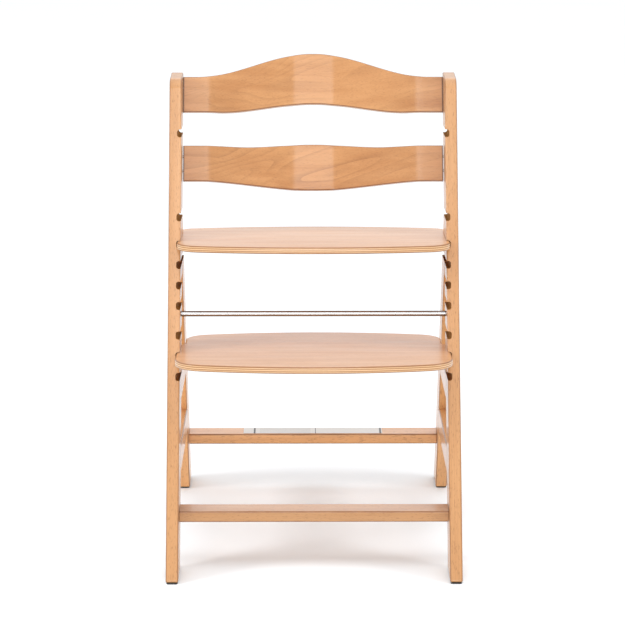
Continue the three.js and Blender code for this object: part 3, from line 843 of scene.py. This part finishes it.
def make_side_frame(side, sign, seed):
    make_side_piece(side, sign, "post", post_corners(), POST_LEAN, POST_GROOVES, seed)
    make_side_piece(side, sign, "rear_leg", leg_corners(), LEG_LEAN, LEG_GROOVES, seed + 1)
    for index, (rail, bottom) in enumerate(RAIL_BOTTOMS.items()):
        make_side_piece(side, sign, rail, rail_corners(bottom), RAIL_LEAN, [], seed + 2 + index)
    for piece in ("post", "rear_leg"):
        for node in fasteners_in(side, piece):
            make_headed(node, BOLT if "bolt" in node else SCREW, sign)


# ---------------------------------------------------------------- crossbars and tie rod
def mark_long_edges(mesh, low, high):
    """Marks the rounded long edges of a crossbar, whose slab lies in the chair's Y and Z."""
    arris = mesh.verts.layers.float["arris"]
    for vertex in mesh.verts:
        to_side = min(vertex.co.x - low.y, high.y - vertex.co.x)
        to_face = min(vertex.co.y - low.z, high.z - vertex.co.y)
        if max(to_side, to_face) < BAR_EDGE_ROUND * INSIDE:
            vertex[arris] = 1.0


def make_crossbar(name, seed):
    low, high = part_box(name)
    corners = [
        (low.y, low.z, BAR_EDGE_ROUND),
        (high.y, low.z, BAR_EDGE_ROUND),
        (high.y, high.z, BAR_EDGE_ROUND),
        (low.y, high.z, BAR_EDGE_ROUND),
    ]
    mesh = slab(corners, high.x - low.x, BAR_END_ROUND)
    mark_long_edges(mesh, low, high)
    mesh.transform(SIDE_TURN)
    bar = to_object(name + "_wood", mesh)
    give_material(bar, beech(f"beech_{name}", None, seed, PAINTED_LIGHT_TONES.get(name, 1.0)))
    bores = []
    for side, _ in SIDES:
        nut_low, nut_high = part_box(f"{side}_{name}_barrel_nut")
        middle = (nut_low + nut_high) / 2
        radius = (nut_high.x - nut_low.x) / 2 + FIT_GAP
        depth = nut_high.z + FIT_GAP - low.z
        bore = turned([(-OVERRUN, radius), (depth, radius)])
        bore.transform(
            Matrix.Translation((middle.x, middle.y, low.z)) @ Matrix.Rotation(-math.pi / 2, 4, "Y")
        )
        bores.append(bore)
    cut_away(bar, bores)
    hand_over(bar, "beech", name)


def make_tie_rod():
    half = rod_high.x
    ease = ROD_RADIUS * ROD_END_EASE
    profile = [
        (-half, ROD_RADIUS - ease),
        (-half + ease, ROD_RADIUS),
        (half - ease, ROD_RADIUS),
        (half, ROD_RADIUS - ease),
    ]
    mesh = turned(profile, 96)
    mesh.transform(Matrix.Translation((0, ROD.y, ROD.z)))
    rod = to_object("tie_rod_steel", mesh)
    give_material(rod, FINISHES["steel"])
    hand_over(rod, "steel", "tie_rod")


# ---------------------------------------------------------------- back slats
def smoothstep(value, start, end):
    share = min(max((value - start) / (end - start), 0), 1)
    return share * share * (3 - 2 * share)


def wave(x, height, half_width):
    return height * (1 - smoothstep(abs(x), SLAT_WAVE_START, half_width))


def bent_rise(distance, length, bend):
    """From 0 to 1 over a length, straight but for a round bend at each end."""
    steepness = 1 / (length - bend)
    if distance <= 0:
        return 0
    if distance >= length:
        return 1
    if distance < bend:
        return steepness * distance**2 / (2 * bend)
    if distance > length - bend:
        return 1 - steepness * (length - distance) ** 2 / (2 * bend)
    return steepness * (distance - bend / 2)


def slat_front(x):
    """How far the slat's front lies behind the posts' front faces."""
    slope_start = SLAT_FLAT_MIDDLE / 2
    slope_length = INNER_X - SLAT_TAB - slope_start
    rise = bent_rise(abs(x) - slope_start, slope_length, SLAT_BEND)
    return SLAT_SETBACK + SLAT_BOW * (1 - rise)


def slat_ring(mesh, layers, x, bottom, top, shrink, on_end, at_joint):
    """One section across the slat: a rectangle in up and back with rounded corners."""
    front = slat_front(x)
    corners = [
        (front, bottom, SLAT_EDGE_ROUND),
        (front + SLAT_THICKNESS, bottom, SLAT_EDGE_ROUND),
        (front + SLAT_THICKNESS, top, SLAT_EDGE_ROUND),
        (front, top, SLAT_EDGE_ROUND),
    ]
    ring = []
    for point in rounded_outline(inset_corners(corners, shrink)):
        back, up = point
        vertex = mesh.verts.new((x, up, -back))
        below_face = min(back - front, front + SLAT_THICKNESS - back)
        on_edge = 1.0 if on_end or below_face > SLAT_EDGE_ROUND * SLAT_PLIES_SHOW_FROM else 0.0
        rounded = on_edge if below_face < SLAT_EDGE_ROUND * SLAT_ARRIS_ENDS_AT else 0.0
        mark(vertex, layers, (back - front) / SLAT_THICKNESS, on_edge, rounded, at_joint)
        ring.append(vertex)
    return ring


def make_slat(name, shape, seed):
    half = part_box(name)[1].x
    mesh = bmesh.new()
    layers = marks(mesh)
    stations = [half * (2 * step / SLAT_STATIONS - 1) for step in range(1, SLAT_STATIONS)]
    ends = [half - distance for distance in (2 * SLAT_JOINT_LINE, SLAT_JOINT_LINE, SLAT_END_ROUND)]
    stations = [-x for x in reversed(ends)] + stations + ends
    rings = []
    for x in [-half] + stations + [half]:
        on_end = abs(x) == half
        bottom = shape["bottom"] + wave(x, *shape["rise"])
        top = shape["top"] + wave(x, *shape["crest"])
        shrink = SLAT_END_ROUND if on_end else 0
        at_joint = 1.0 if half - abs(x) < 1.5 * SLAT_JOINT_LINE else 0.0
        rings.append(slat_ring(mesh, layers, x, bottom, top, shrink, on_end, at_joint))
    bridge(mesh, rings)
    mesh.transform(
        Matrix.Translation((0, FRONT_LINE_Y, 0))
        @ Matrix.Rotation(math.pi / 2 - POST_LEAN, 4, "X")
    )
    slat = to_object(name + "_plywood", mesh)
    give_material(slat, slat_veneer(f"veneer_{name}", seed))
    hand_over(slat, "plywood", name)


# ---------------------------------------------------------------- seat plate and foot plate
def plate_corners(plate):
    """Anticlockwise from the front middle, with X across and Y towards the rear."""
    half_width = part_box("seat_plate")[1].x
    shoulder = plate["shoulder"]
    rear_half_width = shoulder[3] if shoulder else half_width

    def drop(x):
        return x * x / (2 * plate["arc_radius"])

    arc_end = rear_half_width - PLATE_ARC_INSET
    xs = [arc_end * step / PLATE_ARC_STEPS for step in range(PLATE_ARC_STEPS + 1)]
    right = [(x, drop(x) - plate["front"], 0) for x in xs]
    right.append((half_width, drop(half_width) - plate["front"], plate["front_corner"]))
    if shoulder:
        start, end, radius, _ = shoulder
        right += [(half_width, start, radius), (rear_half_width, end, radius)]
    right.append((rear_half_width, plate["rear"] - drop(rear_half_width), plate["rear_corner"]))
    right += [(x, plate["rear"] - drop(x), 0) for x in reversed(xs)]
    left = [(-x, y, radius) for x, y, radius in reversed(right) if x > 0]
    return right + left


def make_plate(name, plate, height, seed):
    mesh = slab(plate_corners(plate), PLATE_THICKNESS, PLATE_EDGE_ROUND)
    mesh.transform(
        Matrix.Translation((0, post_front_y(height), height))
        @ Matrix.Rotation(-GROOVE_TILT, 4, "X")
    )
    board = to_object(name + "_plywood", mesh)
    give_material(board, plate_veneer(f"veneer_{name}", seed))
    hand_over(board, "plywood", name)


# ---------------------------------------------------------------- the chair
# Which stretch of the grain each piece is cut from; a side frame takes four in a row.
GRAIN_SEEDS = {
    "left": 1,
    "right": 6,
    "front_crossbar": 11,
    "rear_crossbar": 12,
    "upper_back_slat": 1,
    "lower_back_slat": 2,
    "seat_plate": 3,
    "foot_plate": 4,
    "dowels": 30,
}
FINISHES = {
    "steel": steel("steel"),
    "dowel": beech("beech_dowel", None, GRAIN_SEEDS["dowels"]),
    "cut_in_shade": shaded_raw_wood("raw_beech_in_shade"),
    "glide": glide_plastic("glide_plastic"),
    "label": label_film("label_film"),
}
for name, node in NODES.items():
    finish = next((FINISHES[word] for word in ("dowel", "glide", "label") if word in name), None)
    give_material(node, finish or FINISHES["steel"])

for side, sign in SIDES:
    make_side_frame(side, sign, GRAIN_SEEDS[side])
for name in ("front_crossbar", "rear_crossbar"):
    make_crossbar(name, GRAIN_SEEDS[name])
make_tie_rod()
for name, shape in (("upper_back_slat", UPPER_SLAT), ("lower_back_slat", LOWER_SLAT)):
    make_slat(name, shape, GRAIN_SEEDS[name])
for name, plate, groove in (
    ("seat_plate", SEAT_PLATE, SEAT_GROOVE),
    ("foot_plate", FOOT_PLATE, FOOT_GROOVE),
):
    make_plate(name, plate, groove, GRAIN_SEEDS[name])

# ---------------------------------------------------------------- floor, light and camera
FLOOR_SIZE = 30
FLOOR_DARK = (0.808, 0.842, 0.872)
FLOOR_LIGHT = (0.818, 0.852, 0.882)
CAMERA_PLACE = (-0.0218, -4.2832, 1.5101)
CAMERA_TILT = 75.13  # from looking straight down
CAMERA_TURN = -0.272
CAMERA_LENS = 155.43
CAMERA_SENSOR = 36
WALL_LIGHT = 1.0
CEILING_LIGHT = 0.65
SOFT_BOXES = {  # azimuth, elevation, distance, size, power
    "front_soft_box": (0, 4, 4.8, (2.4, 0.8), 64),
    "gloss_soft_box": (-1.6, 41, 3.0, (0.88, 1.1), 10.8),
    "left_soft_box": (-70, 25, 3.0, (0.7, 0.7), 34),
    "right_soft_box": (70, 25, 3.0, (0.7, 0.7), 26),
}
BROAD_LIGHTS = {  # azimuth, elevation, spread in degrees, strength
    "overhead_light": (0, 82, 55, 0.93),
    "rear_light": (180, 42, 50, 0.7),
}


def make_floor():
    mesh = bmesh.new()
    bmesh.ops.create_grid(mesh, x_segments=1, y_segments=1, size=FLOOR_SIZE / 2)
    data = bpy.data.meshes.new("floor")
    mesh.to_mesh(data)
    mesh.free()
    floor = bpy.data.objects.new("floor", data)
    bpy.context.scene.collection.objects.link(floor)
    material, tree = new_material("floor")
    space = grain_space(tree, None, (0, 0, 0))
    colour = mix(tree, noise(tree, space, 1.5, 1.5), FLOOR_DARK, FLOOR_LIGHT)
    shader = add(tree, "ShaderNodeBsdfPrincipled", {"Base Color": colour, "Roughness": 0.9,
                                                    "Specular IOR Level": 0.0})
    finish_material(tree, shader)
    give_material(floor, material)


def direction(azimuth, elevation):
    """From the chair towards a lamp. Azimuth 0 is in front and 90 to the right."""
    turn, rise = math.radians(azimuth), math.radians(elevation)
    return Vector(
        (math.sin(turn) * math.cos(rise), -math.cos(turn) * math.cos(rise), math.sin(rise))
    )


def soft_box(name, azimuth, elevation, distance, size, power):
    """A rectangular lamp that looks at the middle of the chair."""
    lamp = bpy.data.lights.new(name, "AREA")
    lamp.shape = "RECTANGLE"
    lamp.size, lamp.size_y = size
    lamp.energy = power
    obj = bpy.data.objects.new(name, lamp)
    bpy.context.scene.collection.objects.link(obj)
    away = direction(azimuth, elevation)
    target = (CAD_LOW + CAD_HIGH) / 2
    obj.location = target + away * distance
    obj.rotation_euler = away.to_track_quat("Z", "Y").to_euler()


def broad_light(name, azimuth, elevation, spread, strength):
    """Even light from a wide patch of the sky, the same all over the floor."""
    lamp = bpy.data.lights.new(name, "SUN")
    lamp.energy = strength
    lamp.angle = math.radians(spread)
    obj = bpy.data.objects.new(name, lamp)
    bpy.context.scene.collection.objects.link(obj)
    obj.rotation_euler = direction(azimuth, elevation).to_track_quat("Z", "Y").to_euler()


def make_world():
    """White walls that are brighter than the ceiling."""
    world = bpy.data.worlds.new("studio")
    bpy.context.scene.world = world
    world.use_nodes = True
    background = world.node_tree.nodes["Background"]
    background.inputs["Color"].default_value = (1, 1, 1, 1)
    tree = world.node_tree
    upward = add(tree, "ShaderNodeTexCoord").outputs["Generated"]
    height = add(tree, "ShaderNodeSeparateXYZ", {"Vector": upward}).outputs["Z"]
    strength = add(
        tree,
        "ShaderNodeMapRange",
        {"Value": height, "To Min": WALL_LIGHT, "To Max": CEILING_LIGHT},
    )
    tree.links.new(strength.outputs["Result"], background.inputs["Strength"])


def make_camera():
    data = bpy.data.cameras.new("camera")
    data.lens = CAMERA_LENS
    data.sensor_width = CAMERA_SENSOR
    camera = bpy.data.objects.new("camera", data)
    camera.location = CAMERA_PLACE
    camera.rotation_euler = (math.radians(CAMERA_TILT), 0, math.radians(CAMERA_TURN))
    bpy.context.scene.collection.objects.link(camera)
    bpy.context.scene.camera = camera


make_floor()
make_world()
for name, settings in SOFT_BOXES.items():
    soft_box(name, *settings)
for name, settings in BROAD_LIGHTS.items():
    broad_light(name, *settings)
make_camera()
bpy.context.scene.view_settings.view_transform = "Standard"
